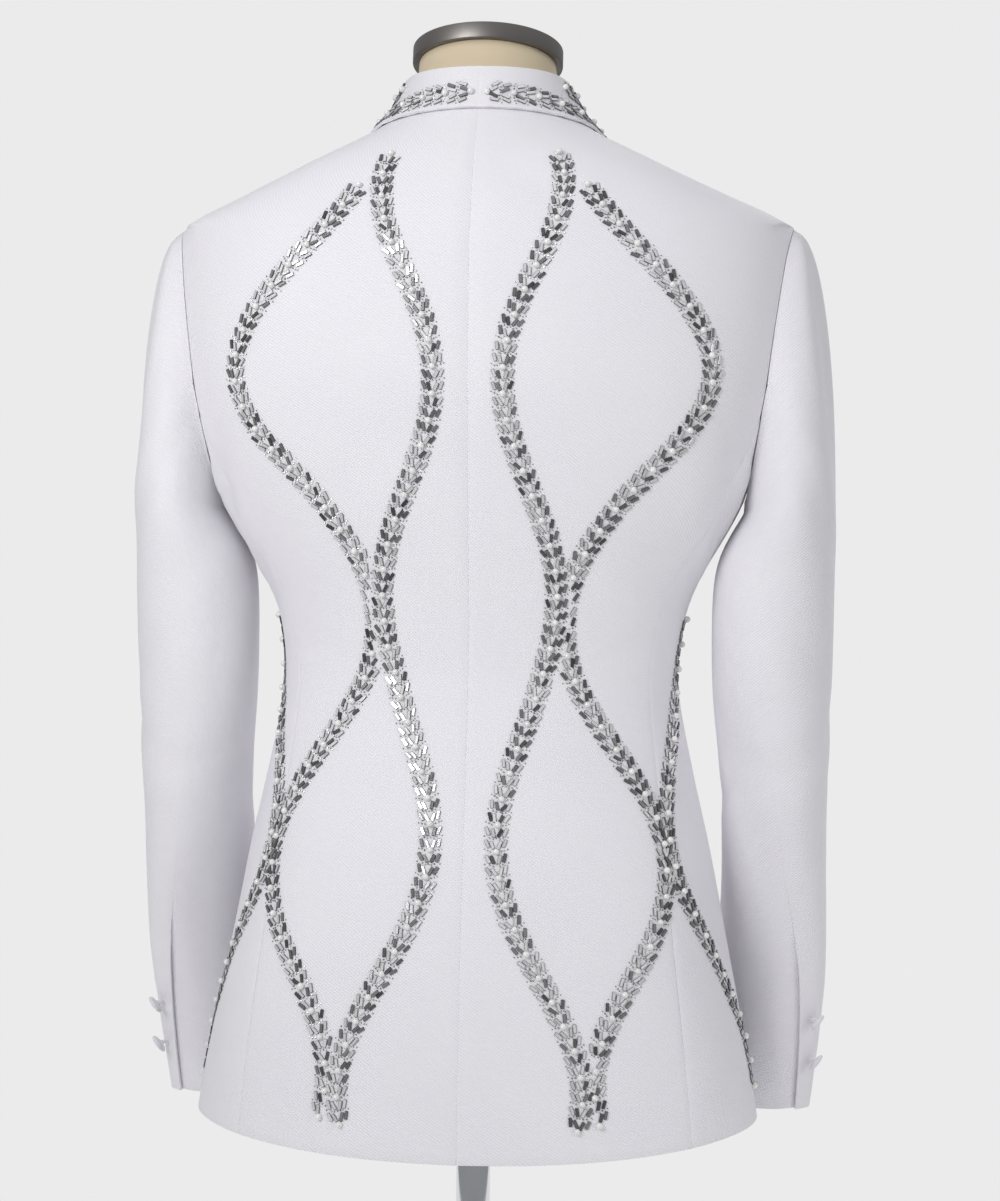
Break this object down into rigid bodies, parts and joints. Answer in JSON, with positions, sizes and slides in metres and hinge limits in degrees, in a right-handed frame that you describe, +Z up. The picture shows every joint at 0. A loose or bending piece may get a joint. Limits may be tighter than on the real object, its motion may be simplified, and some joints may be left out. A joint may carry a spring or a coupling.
{
  "type": "tuxedo jacket on a dress form with stand",
  "caption": "White fitted shawl-collared dinner jacket with beaded bands, worn by a limbless dress form on a pole and round base.",
  "frame": {"origin": "centre of the base plate's underside, where the stand meets the floor", "axes": "+Z up along the pole, -Y out of the jacket's front, +X to the wearer's left"},
  "size_m": [0.5194, 0.32, 1.0547],
  "materials": {
    "jacket_cloth": "matte bird's-eye weave",
    "form_cover": "matte plain weave",
    "cap_metal": "brushed",
    "stand_chrome": "polished",
    "bead_silver": "silver-lined glass",
    "bead_pearl": "pearl"
  },
  "bodies": {
    "root": {"back_left": "jacket_cloth", "back_right": "jacket_cloth", "side_left": "jacket_cloth", "side_right": "jacket_cloth", "front_left": "jacket_cloth", "front_right": "jacket_cloth", "shawl_left": "jacket_cloth", "shawl_right": "jacket_cloth", "upper_sleeve_left": "jacket_cloth", "upper_sleeve_right": "jacket_cloth", "under_sleeve_left": "jacket_cloth", "under_sleeve_right": "jacket_cloth", "collar_stand": "jacket_cloth", "sleeve_button_left_1": "jacket_cloth", "sleeve_button_left_2": "jacket_cloth", "sleeve_button_right_1": "jacket_cloth", "sleeve_button_right_2": "jacket_cloth", "front_button": "jacket_cloth", "form_torso": "form_cover", "neck_cap": "cap_metal", "pole": "stand_chrome", "base_plate": "stand_chrome"}
  },
  "joints": []
}
